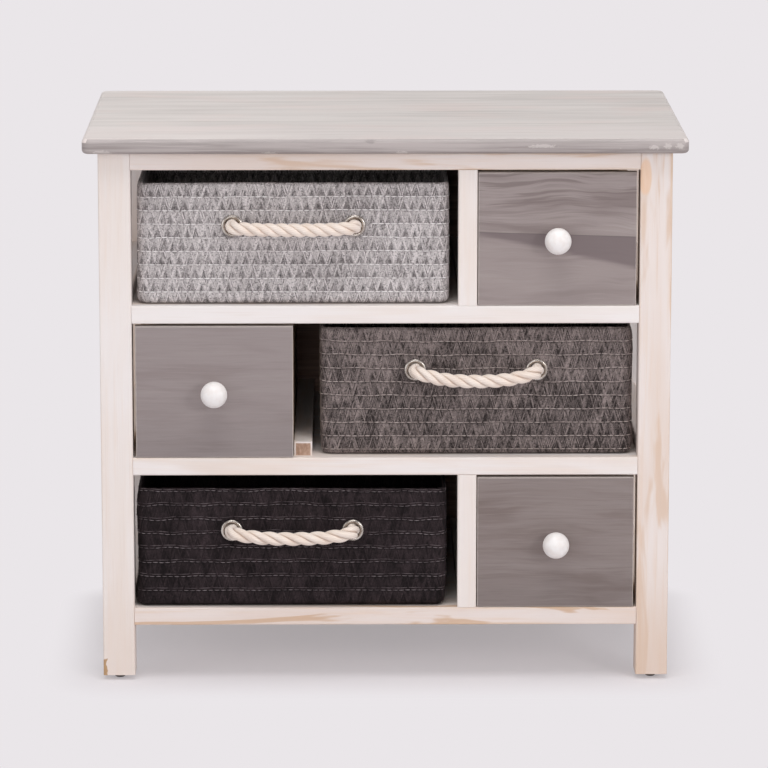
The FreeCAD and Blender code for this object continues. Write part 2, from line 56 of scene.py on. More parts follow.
class Shade:
    """Builds one material; each input takes a number, a colour or another node's socket."""

    def __init__(self, name):
        self.mat = bpy.data.materials.new(name)
        self.mat.use_nodes = True
        self.tree = self.mat.node_tree
        self.tree.nodes.clear()
        self.skin = self.node("ShaderNodeBsdfPrincipled")
        self.out = self.node("ShaderNodeOutputMaterial")
        self.put(self.out.inputs[0], self.skin.outputs[0])
        self.place = self.node("ShaderNodeTexCoord").outputs["Object"]
        self.x, self.y, self.z = self.split(self.place)

    def node(self, kind, *values, named=None, **settings):
        """A node with its settings, values for its first inputs and values for named ones."""
        made = self.tree.nodes.new(kind)
        for name, value in settings.items():
            setattr(made, name, value)
        for socket, value in zip(made.inputs, values):
            self.put(socket, value)
        for name, value in (named or {}).items():
            self.put(made.inputs[name], value)
        return made

    def put(self, socket, value):
        if isinstance(value, bpy.types.NodeSocket):
            self.tree.links.new(value, socket)
        else:
            socket.default_value = value

    def finish(self, colour, rough, relief=None, **others):
        """Sets the shader's inputs; others are named with _ for each space."""
        inputs = {"Base_Color": colour, "Roughness": rough, **others}
        if relief:
            inputs["Normal"] = relief
        for name, value in inputs.items():
            self.put(self.skin.inputs[name.replace("_", " ")], value)
        return self.mat

    def math(self, operation, a, b=0.0, clamp=False):
        return self.node("ShaderNodeMath", a, b, operation=operation, use_clamp=clamp).outputs[0]

    add = partialmethod(math, "ADD")
    sub = partialmethod(math, "SUBTRACT")
    mul = partialmethod(math, "MULTIPLY")
    least = partialmethod(math, "MINIMUM")
    most = partialmethod(math, "MAXIMUM")
    absolute = partialmethod(math, "ABSOLUTE")
    floor = partialmethod(math, "FLOOR")
    fract = partialmethod(math, "FRACT")
    less = partialmethod(math, "LESS_THAN")

    def hypot(self, a, b):
        return self.math("SQRT", self.add(self.mul(a, a), self.mul(b, b)))

    def swing(self, value, strength):
        """How far a value between 0 and 1 is from its middle, times a strength."""
        return self.mul(self.sub(value, 0.5), strength)

    def within(self, value, low, high):
        """How far a value is from the nearer of two ends."""
        return self.least(self.sub(value, low), self.sub(high, value))

    def uv(self, name):
        return self.node("ShaderNodeUVMap", uv_map=name).outputs[0]

    def split(self, vector):
        return self.node("ShaderNodeSeparateXYZ", vector).outputs

    def join(self, x, y, z):
        return self.node("ShaderNodeCombineXYZ", x, y, z).outputs[0]

    def scaled(self, vector, scale, offset):
        return self.node("ShaderNodeMapping", vector, named={"Scale": scale, "Location": offset}).outputs[0]

    def noise(self, scale, detail=3.0, rough=0.55, distort=0.0, vector=None):
        named = {"Scale": scale, "Detail": detail, "Roughness": rough, "Distortion": distort}
        return self.node("ShaderNodeTexNoise", vector or self.place, named=named).outputs["Fac"]

    def drawn(self, vector, scale, offset=(0, 0, 0), detail=3.0, rough=0.55, distort=0.0):
        """Noise with a scale of its own along each axis."""
        return self.noise(1.0, detail, rough, distort, self.scaled(vector, scale, offset))

    def grain(self, along, across_scale, along_scale, seed, detail=3.0, rough=0.55, distort=0.0):
        """Noise drawn out along one axis, as in wood."""
        scale = [across_scale] * 3
        scale[along] = along_scale
        offset = (seed * 3.7, seed * 5.3, seed * 7.1)
        return self.drawn(self.place, scale, offset, detail, rough, distort)

    def chance(self, vector):
        return self.node("ShaderNodeTexWhiteNoise", vector, noise_dimensions="3D").outputs["Value"]

    def ramp(self, value, start, end, low=0.0, high=1.0):
        """A smooth step from low to high while the value goes from start to end."""
        limits = (start, end, low, high)
        return self.node("ShaderNodeMapRange", value, *limits, interpolation_type="SMOOTHSTEP").outputs[0]

    def mix(self, share, a, b, blend="MIX"):
        made = self.node("ShaderNodeMix", share, data_type="RGBA", blend_type=blend)
        sockets = {socket.identifier: socket for socket in (*made.inputs, *made.outputs)}
        self.put(sockets["A_Color"], a)
        self.put(sockets["B_Color"], b)
        return sockets["Result_Color"]

    def tint(self, colour, other, value, start, end, share=1.0):
        """Goes over to a share of another colour while the value goes from start to end."""
        return self.mix(self.ramp(value, start, end, 0.0, share), colour, other)

    def shaded(self, colour, share):
        """The colour times a share."""
        grey = self.node("ShaderNodeCombineColor", share, share, share)
        return self.mix(1.0, colour, grey.outputs[0], "MULTIPLY")

    def bump(self, height, depth, strength):
        named = {"Height": height, "Distance": depth, "Strength": strength}
        return self.node("ShaderNodeBump", named=named).outputs[0]


def dress(node, mat):
    item = nodes[node]
    item.data.materials.clear()
    item.data.materials.append(mat)


def new_piece(name, points, faces, mat, body, slot):
    """A smooth mesh that moves with a body."""
    mesh = bpy.data.meshes.new(name)
    mesh.from_pydata(points, [], faces)
    mesh.update()
    mesh.shade_smooth()
    mesh.materials.append(mat)
    item = bpy.data.objects.new(name, mesh)
    scene.collection.objects.link(item)
    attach(item, body)
    return item


def make_camera():
    """The photograph's view, fitted to places measured in it."""
    photo_pixels, lens_pixels = 768, 4531.4
    tilt, turn = 0.19185, 0.00814
    data = bpy.data.cameras.new("camera")
    data.sensor_width = 36.0
    data.lens = lens_pixels / photo_pixels * data.sensor_width
    data.clip_end = 100.0
    camera = bpy.data.objects.new("camera", data)
    camera.location = (-37.6 * MM, -4615.0 * MM, 1168.4 * MM)
    camera.rotation_euler = (math.pi / 2 - tilt, 0, -turn)
    scene.collection.objects.link(camera)
    scene.camera = camera


# Rope handles: three strands laid round the route's smooth line, with a stopper knot behind each eyelet
ROPE_RADIUS = 7.0 * MM
STRAND_RADIUS = 3.4 * MM
STRAND_ORBIT = ROPE_RADIUS - STRAND_RADIUS
STRAND_STEP, STRAND_SIDES = 1.2 * MM, 14
YARNS_ROUND, YARNS_PER_METRE = 11.0, 260.0
LAY_LENGTH = {"lower": 48.0 * MM, "middle": 43.0 * MM, "upper": 37.0 * MM}
HALF_SPAN = 61.0 * MM
EYELET_DROP = 44.0 * MM
KNOT_START, KNOT_LENGTH, KNOT_RINGS = 5.3 * MM, 20.0 * MM, 30
KNOT_ORBIT, KNOT_STRAND_RADIUS, KNOT_TURNS = 9.0 * MM, 3.8 * MM, 0.62
SAG = {"lower": 5.5 * MM, "middle": 9.0 * MM, "upper": 2.0 * MM}


def rope_line(row, middle, face, height):
    """The route of the rope as a smooth spline, read back as points."""
    half = [
        (HALF_SPAN, 15.3 * MM, 0.0),
        (HALF_SPAN, 4.0 * MM, 0.0),
        (HALF_SPAN, -16.0 * MM, 0.0),
        (28.0 * MM, -15.0 * MM, -SAG[row]),
    ]
    route = [(-x, y, z) for x, y, z in half] + half[::-1]
    curve = bpy.data.curves.new(f"rope_line_{row}", "CURVE")
    curve.dimensions = "3D"
    spline = curve.splines.new("NURBS")
    spline.points.add(len(route) - 1)
    for point, (x, y, z) in zip(spline.points, route):
        point.co = (middle + x, face + y, height + z, 1.0)
    spline.order_u = 3
    spline.use_endpoint_u = True
    curve.resolution_u = 24
    holder = bpy.data.objects.new(f"rope_line_{row}", curve)
    mesh = bpy.data.meshes.new_from_object(holder)
    line = np.array([v.co[:] for v in mesh.vertices])
    bpy.data.objects.remove(holder)
    bpy.data.curves.remove(curve)
    bpy.data.meshes.remove(mesh)
    return line


def even_steps(line, step):
    """The line as points at even steps, and how far along it each of them is."""
    run = np.concatenate([[0], np.cumsum(np.linalg.norm(np.diff(line, axis=0), axis=1))])
    at = np.linspace(0, run[-1], max(2, int(round(run[-1] / step))))
    return np.stack([np.interp(at, run, line[:, i]) for i in range(3)], axis=1), at


def line_frames(line):
    """Two steady side directions at each point of a line."""
    way = np.gradient(line, axis=0)
    way /= np.linalg.norm(way, axis=1)[:, None]
    side = np.zeros_like(way)
    first = np.cross(way[0], (0.0, 0.0, 1.0))
    side[0] = first / np.linalg.norm(first)
    for i in range(1, len(way)):
        kept = side[i - 1] - way[i] * (side[i - 1] @ way[i])
        side[i] = kept / np.linalg.norm(kept)
    return side, np.cross(way, side)


def tube(line, side, up, radii, around):
    """Rings of points along a line, in the plane of two directions, with faces and closed ends."""
    turn = np.linspace(0, 2 * math.pi, around, endpoint=False)[None, :, None]
    ring = np.cos(turn) * side[:, None, :] + np.sin(turn) * up[:, None, :]
    points = (line[:, None, :] + ring * radii[:, None, None]).reshape(-1, 3)
    faces = []
    for start in range(0, (len(line) - 1) * around, around):
        for j in range(around):
            k = (j + 1) % around
            faces.append((start + j, start + k, start + around + k, start + around + j))
    faces.append(tuple(reversed(range(around))))
    faces.append(tuple(range((len(line) - 1) * around, len(line) * around)))
    return points, faces


def gathered(tubes):
    """Several tubes as one list of points and one of faces."""
    points, faces, start = [], [], 0
    for some, some_faces in tubes:
        points.append(some)
        faces += [tuple(i + start for i in face) for face in some_faces]
        start += len(some)
    return np.concatenate(points), faces


def strand_uv(item, strand_rings, reach):
    """Length and turn of each strand, for its yarns, and each point's share of the rope's radius."""
    order = np.empty(len(item.data.loops), np.int32)
    item.data.loops.foreach_get("vertex_index", order)
    ring, corner = np.divmod(order % (strand_rings * STRAND_SIDES), STRAND_SIDES)
    yarn = np.stack([ring * STRAND_STEP, corner / STRAND_SIDES], axis=1)
    outward = np.stack([reach[order], np.zeros(len(order))], axis=1)
    for name, uv in (("yarn", yarn), ("reach", outward)):
        item.data.uv_layers.new(name=name).data.foreach_set("uv", uv.astype(np.float32).ravel())


def rope_material():
    """Cotton strands of fine yarns, with painted shade in the grooves between the yarns and where the strands
    meet.
    """
    s = Shade("cotton_rope")
    length, turn = s.split(s.uv("yarn"))[:2]
    yarn = s.add(s.mul(turn, YARNS_ROUND), s.mul(length, YARNS_PER_METRE))
    ridge = s.absolute(s.sub(s.fract(yarn), 0.5))
    fibre = s.noise(900.0, 3.0, 0.7)
    patch = s.noise(60.0, 2.0)
    colour = s.tint(tone(248, 236, 226), tone(241, 225, 212), patch, 0.3, 0.7)
    # Painted shade in the grooves between the yarns
    colour = s.tint(colour, tone(206, 180, 162), ridge, 0.30, 0.5, 0.45)
    colour = s.tint(colour, tone(250, 244, 236), fibre, 0.55, 0.75, 0.3)
    # Painted shade where the strands meet, towards the rope's middle
    outward = s.split(s.uv("reach"))[0]
    colour = s.tint(colour, tone(184, 156, 136), outward, 0.84, 0.55, 0.6)
    height = s.add(s.mul(s.sub(0.5, ridge), 0.7), s.mul(fibre, 0.5))
    return s.finish(colour, 0.9, s.bump(height, 0.35 * MM, 0.8), Sheen_Weight=0.25)


def rope_strands(line, at, lay_length):
    """The rope's three strands, and each point's share of the rope's radius."""
    side, up = line_frames(line)
    strands, reach = [], []
    for strand in range(3):
        turn = strand * 2 * math.pi / 3 + at / lay_length * 2 * math.pi
        path = line + STRAND_ORBIT * (np.cos(turn)[:, None] * side + np.sin(turn)[:, None] * up)
        points, faces = tube(path, *line_frames(path), np.full(len(path), STRAND_RADIUS), STRAND_SIDES)
        strands.append((points, faces))
        out = points - np.repeat(line, STRAND_SIDES, axis=0)
        reach.append(np.linalg.norm(out, axis=1) / ROPE_RADIUS)
    return strands, np.concatenate(reach)


def knot_strands(middle, face, height, end):
    """Three strands that swell out of the rope, wrap each other and tuck in."""
    tubes = []
    share = np.linspace(0, 1, KNOT_RINGS)
    swell = np.sin(np.pi * np.clip(share * 1.05, 0, 1)) ** 0.55
    orbit = STRAND_ORBIT * (1 - swell) + KNOT_ORBIT * swell
    depth = KNOT_START + STRAND_RADIUS + (KNOT_LENGTH - 2 * STRAND_RADIUS) * share
    tucked = np.clip((1.03 - share) * 9, 0.55, 1)
    radius = KNOT_STRAND_RADIUS * np.clip(0.86 + 0.14 * swell, 0, 1) * tucked
    for strand in range(3):
        turn = strand * 2 * math.pi / 3 - end * share * 2 * math.pi * KNOT_TURNS
        x = middle + end * HALF_SPAN + orbit * np.cos(turn)
        line = np.stack([x, face + depth, height + orbit * np.sin(turn)], axis=1)
        tubes.append(tube(line, *line_frames(line), radius, STRAND_SIDES))
    return tubes


def make_rope(row, mat):
    low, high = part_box(f"basket_{row}_shell")
    middle, face, height = (low[0] + high[0]) / 2, low[1], high[2] - EYELET_DROP
    line, at = even_steps(rope_line(row, middle, face, height), STRAND_STEP)
    strands, reach = rope_strands(line, at, LAY_LENGTH[row])
    rope = new_piece(f"rope_{row}", *gathered(strands), mat, f"basket_{row}", "cotton_rope")
    strand_uv(rope, len(line), reach)
    knots = [strand for end in (-1, 1) for strand in knot_strands(middle, face, height, end)]
    knot = new_piece(f"rope_knots_{row}", *gathered(knots), mat, f"basket_{row}", "cotton_rope")
    strand_uv(knot, KNOT_RINGS, np.ones(len(knot.data.vertices)))
    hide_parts(f"basket_{row}_rope")


# Baskets: flat braids sewn round in rows, as a closed double-walled surface with the braid's relief
WALL, CORNER, BASE_ROUND = 4.0 * MM, 11.0 * MM, 7.0 * MM
LEAST_CORNER, FLOOR_MIDDLE = 0.3 * MM, 2 * MM
OUTER_STEP, INNER_STEP = 1.15 * MM, 3.7 * MM
COLUMNS = 560
RELIEF = 1.15 * MM
# How far each row's zigzag is shifted against the next, in periods, and its height as a share of the row
ROW_SHIFT, PETAL_HEIGHT = 0.618, 0.74
# Round each eyelet: the hole in the braid, the ring pressed flat and the space without stitches
EYELET_HOLE, FLAT_START, FLAT_END, STITCH_FREE = 9.0 * MM, 11 * MM, 16 * MM, 13 * MM
FLAT_DEPTH = 0.35 * MM
# A stitch's thickness along its length, and how far it stands off the braid
STITCH_SWELL = np.array([0.35, 1.0, 1.0, 0.35])
STITCH_LIFT = np.array([-0.07, 0.38, 0.38, -0.07]) * MM
STITCH_SIDES = 5
# For each basket's braid:
# height and period of a row's zigzag, phase of the rows at the rim and the first seam that is sewn;
# groove between the rows, stray of the zigzag along its row and ripple of the rows, in the relief;
# strands in a period, and the share of light left at a seam, in the gap between strands and in a pit;
# base share of the light colour, and what pick adds from strand to strand, petal outside the dark triangles,
# border along their edges, top near the rim and mottle in blotches;
# steady is the weakest triangle's strength, and shine the strength of highlights;
# lines of thread, and on the lower basket a lighter cord of painted highlight: place in the row, pitch,
# length and radius of a stitch, light and dark colour
BRAIDS = {
    "upper": {
        "height": 13.7 * MM, "period": 9.45 * MM, "phase": 0.2, "first": 1,
        "groove": 0.14, "stray": 0.25, "ripple": 0.015,
        "strands": 8.0, "seam": 0.95, "gap": 0.64, "pit": 0.42,
        "base": 0.26, "pick": 0.7, "petal": 0.38, "border": 0.18, "top": -0.07, "mottle": 0.2, "steady": 0.65,
        "light": tone(230, 223, 223), "dark": tone(124, 117, 117), "shine": 0.4,
        "lines": [(0.05, 6.4 * MM, 5.9 * MM, 0.56 * MM, tone(248, 245, 245), tone(220, 214, 214))],
    },
    "middle": {
        "height": 13.85 * MM, "period": 9.8 * MM, "phase": 0.17, "first": 1,
        "groove": 0.42, "stray": 0.4, "ripple": 0.03,
        "strands": 10.0, "seam": 0.66, "gap": 0.60, "pit": 0.42,
        "base": 0.29, "pick": 0.74, "petal": 0.14, "border": 0.12, "top": 0.16, "mottle": 1.1, "steady": 0.45,
        "light": tone(160, 146, 143), "dark": tone(52, 44, 43), "shine": 0.3,
        "lines": [(0.05, 6.4 * MM, 5.8 * MM, 0.46 * MM, tone(196, 183, 178), tone(150, 137, 132))],
    },
    "lower": {
        "height": 14.66 * MM, "period": 10.0 * MM, "phase": 0.34, "first": 0,
        "groove": 0.75, "stray": 0.7, "ripple": 0.04,
        "strands": 8.0, "seam": 0.6, "gap": 0.75, "pit": 0.6,
        "base": 0.36, "pick": 0.5, "petal": 0.0, "border": 0.07, "top": 0.04, "mottle": 1.1, "steady": 0.4,
        "light": tone(66, 55, 58), "dark": tone(19, 12, 14), "shine": 0.16,
        "lines": [
            (0.03, 6.2 * MM, 5.2 * MM, 0.37 * MM, tone(138, 128, 131), tone(70, 61, 64)),
            # Not a stitch: a continuous lighter cord along each braid's folded edge, a painted highlight
            (0.20, 14.0 * MM, 13.2 * MM, 0.30 * MM, tone(110, 100, 103), tone(62, 52, 55)),
        ],
    },
}
# How far the left and right walls bulge, in mm, at eight heights from the base to the rim
BULGE_AT = (0.0, 0.06, 0.18, 0.4, 0.62, 0.8, 0.92, 1.0)
BULGE = {
    "upper": ((1.0, 1.4, 1.6, 1.4, 1.2, 1.2, 1.0, 0.6), (0.0, 0.3, 0.5, 0.5, 0.5, 0.4, 0.3, 0.0)),
    "middle": ((0.0, 0.8, 1.6, 2.0, 2.2, 2.4, 2.4, 1.6), (1.6, 2.6, 2.8, 2.4, 2.4, 3.2, 2.8, 1.0)),
    "lower": ((2.4, 3.2, 1.6, 1.2, 1.8, 2.8, 2.2, 0.6), (-1.0, -1.0, 0.3, 0.8, 0.8, 1.0, 0.8, 0.2)),
}
SLOTS = {"upper": "weave_light_grey", "middle": "weave_mid_grey", "lower": "weave_black"}


def smooth(start, end, value):
    share = np.clip((value - start) / (end - start), 0, 1)
    return share * share * (3 - 2 * share)


class Outline:
    """A rounded rectangle, walked once round to the left, and its copies pulled in."""

    def __init__(self, half_x, half_y):
        self.half = (half_x, half_y)
        straight_x, straight_y = 2 * (half_x - CORNER), 2 * (half_y - CORNER)
        bend = CORNER * math.pi / 2
        runs = np.array([straight_x, bend, straight_y, bend] * 2)
        ends = np.cumsum(runs)
        self.length = ends[-1]
        self.at = np.arange(COLUMNS) / COLUMNS * self.length
        self.turn = self.at / self.length * 2 * math.pi
        self.leg = np.searchsorted(ends, self.at, side="right")
        self.share = (self.at - (ends - runs)[self.leg]) / runs[self.leg]

    def walk(self, inset):
        """Points of the outline pulled in by the inset, and the way out from each of them."""
        radius = max(CORNER - inset, LEAST_CORNER)
        x, y = self.half[0] - inset - radius, self.half[1] - inset - radius
        corners = np.array([(x, -y), (x, y), (-x, y), (-x, -y)])
        points, ways = np.zeros((COLUMNS, 2)), np.zeros((COLUMNS, 2))
        for leg in range(8):
            here = self.leg == leg
            share = self.share[here]
            side = leg // 2
            angle = (side - 1) * math.pi / 2
            if leg % 2:
                turn = angle + share * math.pi / 2
                ways[here] = np.stack([np.cos(turn), np.sin(turn)], axis=1)
                points[here] = corners[side] + radius * ways[here]
            else:
                start, end = corners[side - 1], corners[side]
                ways[here] = np.array([math.cos(angle), math.sin(angle)])
                points[here] = start + share[:, None] * (end - start) + radius * ways[here]
        return points, ways


def basket_profile(height, half_depth):
    """Stations from under the base, up the outside, over the rim and down to the inner floor.

    Each is an inset, a height and the outward and upward parts of the surface's direction. The second
    list is how far along the profile each lies, from the rim.
    """
    reach = half_depth - FLOOR_MIDDLE
    inner_round = BASE_ROUND - WALL
    lip = WALL / 2
    wall_top = height - lip
    stations = [(inset, 0.0, 0.0, -1.0) for inset in np.linspace(reach, BASE_ROUND, 10)]
    for turn in np.linspace(0, math.pi / 2, 7)[1:]:
        out, down = math.sin(turn), math.cos(turn)
        stations.append((BASE_ROUND * (1 - out), BASE_ROUND * (1 - down), out, -down))
    rise = int((wall_top - BASE_ROUND) / OUTER_STEP)
    stations += [(0.0, z, 1.0, 0.0) for z in np.linspace(BASE_ROUND, wall_top, rise)[1:]]
    for turn in np.linspace(0, math.pi, 7)[1:-1]:
        out, up = math.cos(turn), math.sin(turn)
        stations.append((lip - lip * out, wall_top + lip * up, out, up))
    drop = int((wall_top - BASE_ROUND) / INNER_STEP)
    stations += [(WALL, z, -1.0, 0.0) for z in np.linspace(wall_top, BASE_ROUND, drop)]
    for turn in np.linspace(0, math.pi / 2, 5)[1:]:
        out, down = math.cos(turn), math.sin(turn)
        stations.append((WALL + inner_round * (1 - out), WALL + inner_round * (1 - down), -out, down))
    stations += [(inset, WALL, 0.0, 1.0) for inset in np.linspace(BASE_ROUND, reach, 10)[1:]]
    stations = np.array(stations)
    run = np.concatenate([[0], np.cumsum(np.hypot(np.diff(stations[:, 0]), np.diff(stations[:, 1])))])
    return stations, run - run[np.argmax(stations[:, 1])]


def braid_relief(periods, rows, groove):
    """Height of the braid, 0 to 1: each row laps over the one below, with hollows between its strands."""
    row = np.floor(rows)
    up = rows - row
    along = np.mod(periods + row * ROW_SHIFT, 1.0)
    zigzag = 1 - np.abs(2 * along - 1)
    dome = 1 - 0.35 * (2 * up - 1) ** 4
    lap = dome * (1 - groove * (1 - smooth(0.0, 0.12, up)) - 0.3 * groove * up)
    hollow = smooth(-0.10, 0.16, zigzag * PETAL_HEIGHT - up)
    return np.clip(lap * (1.0 - 0.22 * hollow), 0, 1)


def wobble(turn, rows, seed):
    """How far the zigzag strays along a row, in periods; it closes on itself round the basket."""
    waves = ((0.12, 17, 2.3, 1.0), (0.08, 31, -3.9, 2.7), (0.05, 53, 7.1, 4.1))
    return sum(size * np.sin(n * turn + lean * rows + shift * seed) for size, n, lean, shift in waves)


def slow_wave(turn, seed):
    """A gentle wave round the basket, -1 to 1."""
    waves = ((0.5, 3, 1.0), (0.3, 7, 2.1), (0.2, 13, 4.7))
    return sum(size * np.sin(n * turn + shift * seed) for size, n, shift in waves)


def weave_pits(s, style, up, beside, worth, fibre):
    """How dark the painted shade makes the pits at the zigzag's low points, and the specks between fibres."""
    rise, aside = s.mul(s.sub(up, 0.28), 0.8), s.mul(s.sub(0.5, beside), 1.5)
    speck = s.add(s.swing(fibre, 0.5), s.mul(worth, 0.12))
    pit = s.ramp(s.add(s.hypot(aside, rise), speck), 0.03, 0.26, style["pit"], 1.0)
    dots = s.noise(560.0, 2.0, 0.6)
    return s.mul(pit, s.ramp(dots, 0.53, 0.67, 1.0, style["pit"]))


def woven_material(row, style):
    """Rows of sloping strands in two tones, with a darker triangle in each zigzag."""
    s = Shade(f"weave_{row}")
    along, rows = s.split(s.uv("weave"))[:2]
    row_number = s.floor(rows)
    up = s.sub(rows, row_number)
    shifted = s.add(along, s.mul(row_number, ROW_SHIFT))
    in_period = s.fract(shifted)
    beside = s.least(in_period, s.sub(1.0, in_period))
    patch = s.noise(22.0)
    fibre = s.noise(1000.0, 2.0, 0.7)

    zigzag = s.sub(1.0, s.absolute(s.sub(s.mul(in_period, 2.0), 1.0)))
    inside = s.sub(s.mul(zigzag, PETAL_HEIGHT), up)
    worth = s.chance(s.join(s.floor(shifted), row_number, 0.5))
    triangle = s.mul(s.ramp(inside, -0.24, 0.26), s.ramp(worth, 0.0, 1.0, style["steady"], 1.0))
    border = s.ramp(s.absolute(s.add(inside, 0.14)), 0.0, 0.14, style["border"], 0.0)

    strand = s.mul(s.sub(beside, s.mul(up, 0.42)), style["strands"])
    gap = s.absolute(s.sub(s.fract(strand), 0.5))
    left = s.less(in_period, 0.5)
    cell = s.add(s.floor(s.add(shifted, 0.5)), s.mul(left, 0.37))
    pick = s.chance(s.join(s.floor(strand), row_number, cell))
    broken = s.ramp(s.noise(380.0, 2.0), 0.36, 0.64, 0.2, 1.7)

    share = s.mul(s.swing(pick, style["pick"]), broken)
    share = s.add(share, s.mul(s.sub(1.0, triangle), s.add(border, style["petal"])))
    share = s.add(share, s.add(s.swing(patch, 0.6), s.swing(fibre, 1.1)))
    share = s.add(share, s.swing(s.noise(62.0, 2.0), style["mottle"]))
    share = s.add(share, s.ramp(rows, -4.5, -0.5, 0.0, style["top"]))
    colour = s.mix(s.math("ADD", share, style["base"], clamp=True), style["dark"], style["light"])
    # Painted shade: in the gaps between strands, under each row's lap at the seam, and in the pits
    shadow = s.ramp(gap, 0.22, 0.5, 1.0, style["gap"])
    lap = s.ramp(up, 0.86, 0.99, 1.0, style["seam"])
    pits = weave_pits(s, style, up, beside, worth, fibre)
    colour = s.shaded(colour, s.mul(shadow, s.mul(lap, pits)))
    height = s.add(s.sub(0.5, gap), s.mul(fibre, 0.35))
    rough = s.ramp(fibre, 0.3, 0.7, 0.62, 0.85)
    return s.finish(colour, rough, s.bump(height, 0.55 * MM, 0.85), Specular_IOR_Level=style["shine"])


def thread_material(name, light, dark):
    s = Shade(name)
    share = s.add(s.mul(s.noise(260.0, 2.0), 0.5), s.mul(s.noise(45.0, 2.0), 0.5))
    twist = s.drawn(s.place, (900.0, 900.0, 2600.0), detail=1.0)
    colour = s.tint(dark, light, share, 0.35, 0.65)
    return s.finish(colour, 0.6, s.bump(twist, 0.1 * MM, 0.6), Specular_IOR_Level=0.3)


def stitch(line, radius):
    """A short tube of thread along a line of points on the braid."""
    way = line[-1] - line[0]
    way /= np.linalg.norm(way)
    out = np.cross(way, (0.0, 0.0, 1.0))
    out /= np.linalg.norm(out)
    raised = line + out * STITCH_LIFT[:, None]
    return tube(raised, out[None, :], np.cross(out, way)[None, :], radius * STITCH_SWELL, STITCH_SIDES)


class Basket:
    """One basket's woven surface, in the box of its shell, and its stitches."""

    def __init__(self, row, seed):
        self.row, self.seed, self.style = row, seed, BRAIDS[row]
        low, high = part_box(f"basket_{row}_shell")
        self.base = np.array([(low[0] + high[0]) / 2, (low[1] + high[1]) / 2, low[2]])
        self.height = high[2] - low[2]
        half_x, half_y = (high[0] - low[0]) / 2, (high[1] - low[1]) / 2
        self.outline = Outline(half_x, half_y)
        self.stations, self.run = basket_profile(self.height, half_y)
        self.count = round(self.outline.length / self.style["period"])
        self.periods = self.outline.at / self.outline.length * self.count
        self.wave = slow_wave(self.outline.turn, seed)
        self.sway = slow_wave(self.outline.turn, seed + 2.0)
        self.eyelets = [(end * HALF_SPAN, self.height - EYELET_DROP) for end in (-1, 1)]
        grid = (len(self.stations), COLUMNS)
        self.points = np.zeros((*grid, 3))
        self.row_at = np.zeros(grid)
        self.strayed = np.zeros(grid)
        for i in range(len(self.stations)):
            self.lay_station(i)

    def lay_station(self, i):
        """Lays the points of one station, with their places in the braid."""
        inset, z, out, up = self.stations[i]
        plan, ways = self.outline.walk(inset)
        rise = z / self.height
        turn, style, seed = self.outline.turn, self.style, self.seed
        ripple = np.sin(19 * turn + 17 * rise + seed) + 0.6 * np.sin(43 * turn - 29 * rise + 2 * seed)
        waver = (0.05 * self.sway + style["ripple"] * ripple) * min(1.0, rise * 2)
        self.row_at[i] = self.run[i] / style["height"] + style["phase"] + waver
        self.strayed[i] = style["stray"] * wobble(turn, np.floor(self.row_at[i]), seed)
        braid = self.periods + self.strayed[i]
        relief = (braid_relief(braid, self.row_at[i], style["groove"]) - 1.0) * RELIEF
        if inset <= WALL:
            for x, level in self.eyelets:
                near = np.hypot(plan[:, 0] - x, z - level)
                flat = (1 - smooth(FLAT_START, FLAT_END, near)) * (plan[:, 1] < 0)
                relief = relief * (1 - flat) - FLAT_DEPTH * flat
        left, right = (np.interp(rise, BULGE_AT, side) for side in BULGE[self.row])
        bulge = np.where(ways[:, 0] < 0, left, right) * ways[:, 0] ** 2
        narrowing = (0.5 * rise * (1 + self.wave) - bulge) * MM
        self.points[i, :, :2] = self.base[:2] + plan + ways * (out * relief - narrowing)[:, None]
        scallop = (0.5 + 0.5 * np.cos(2 * math.pi * braid)) * smooth(0.95, 1.0, rise)
        slump = (self.wave - 1.0) * 0.4 * MM * rise**3 - 0.6 * MM * scallop
        self.points[i, :, 2] = self.base[2] + z + up * relief + slump

    def make_shell(self):
        grid = np.arange(len(self.stations) * COLUMNS).reshape(len(self.stations), COLUMNS)
        beside = np.roll(grid, -1, axis=1)
        faces = np.stack([grid[:-1], beside[:-1], beside[1:], grid[1:]], axis=-1).reshape(-1, 4)
        points = self.points.reshape(-1, 3)
        centres = points[faces].mean(axis=1) - self.base
        keep = np.ones(len(faces), bool)
        for x, level in self.eyelets:
            near = np.hypot(centres[:, 0] - x, centres[:, 2] - level)
            keep &= (near > EYELET_HOLE) | (centres[:, 1] > 0)
        walls = [tuple(face) for face in faces[keep].tolist()]
        caps = [tuple(reversed(grid[0].tolist())), tuple(grid[-1].tolist())]
        mat = woven_material(self.row, self.style)
        name = f"basket_weave_{self.row}"
        shell = new_piece(name, points, walls + caps, mat, f"basket_{self.row}", SLOTS[self.row])
        self.lay_uv(shell, *np.divmod(np.flatnonzero(keep), COLUMNS))
        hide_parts(f"basket_{self.row}_shell")

    def lay_uv(self, shell, station, column):
        """Gives each corner of the faces its place along and up the braids."""
        wide = np.append(self.periods, self.count)
        uv = np.empty((len(station), 4, 2))
        for corner, (across, above) in enumerate(((0, 0), (1, 0), (1, 1), (0, 1))):
            spot = (station + above, (column + across) % COLUMNS)
            uv[:, corner, 0] = wide[column + across] + self.strayed[spot]
            uv[:, corner, 1] = self.row_at[spot]
        base = np.stack([self.periods[::-1], self.row_at[0][::-1]], axis=1)
        floor = np.stack([self.periods, self.row_at[-1]], axis=1)
        whole = np.concatenate([uv.reshape(-1, 2), base, floor]).astype(np.float32)
        shell.data.uv_layers.new(name="weave").data.foreach_set("uv", whole.ravel())

    def wall_line(self, outer, at_row):
        """The closed line round the outer wall at one place in the rows."""
        rows, wall = self.row_at[outer], self.points[outer]
        column = np.arange(COLUMNS)
        above = np.clip((rows < at_row).sum(axis=0), 1, len(outer) - 1)
        low, high = rows[above - 1, column], rows[above, column]
        share = np.clip((at_row - low) / (high - low), 0, 1)[:, None]
        line = wall[above - 1, column] * (1 - share) + wall[above, column] * share
        return np.vstack([line, line[:1]])

    def near_eyelet(self, point):
        x, y, z = point - self.base
        return y < 0 and any(math.hypot(x - at, z - level) < STITCH_FREE for at, level in self.eyelets)

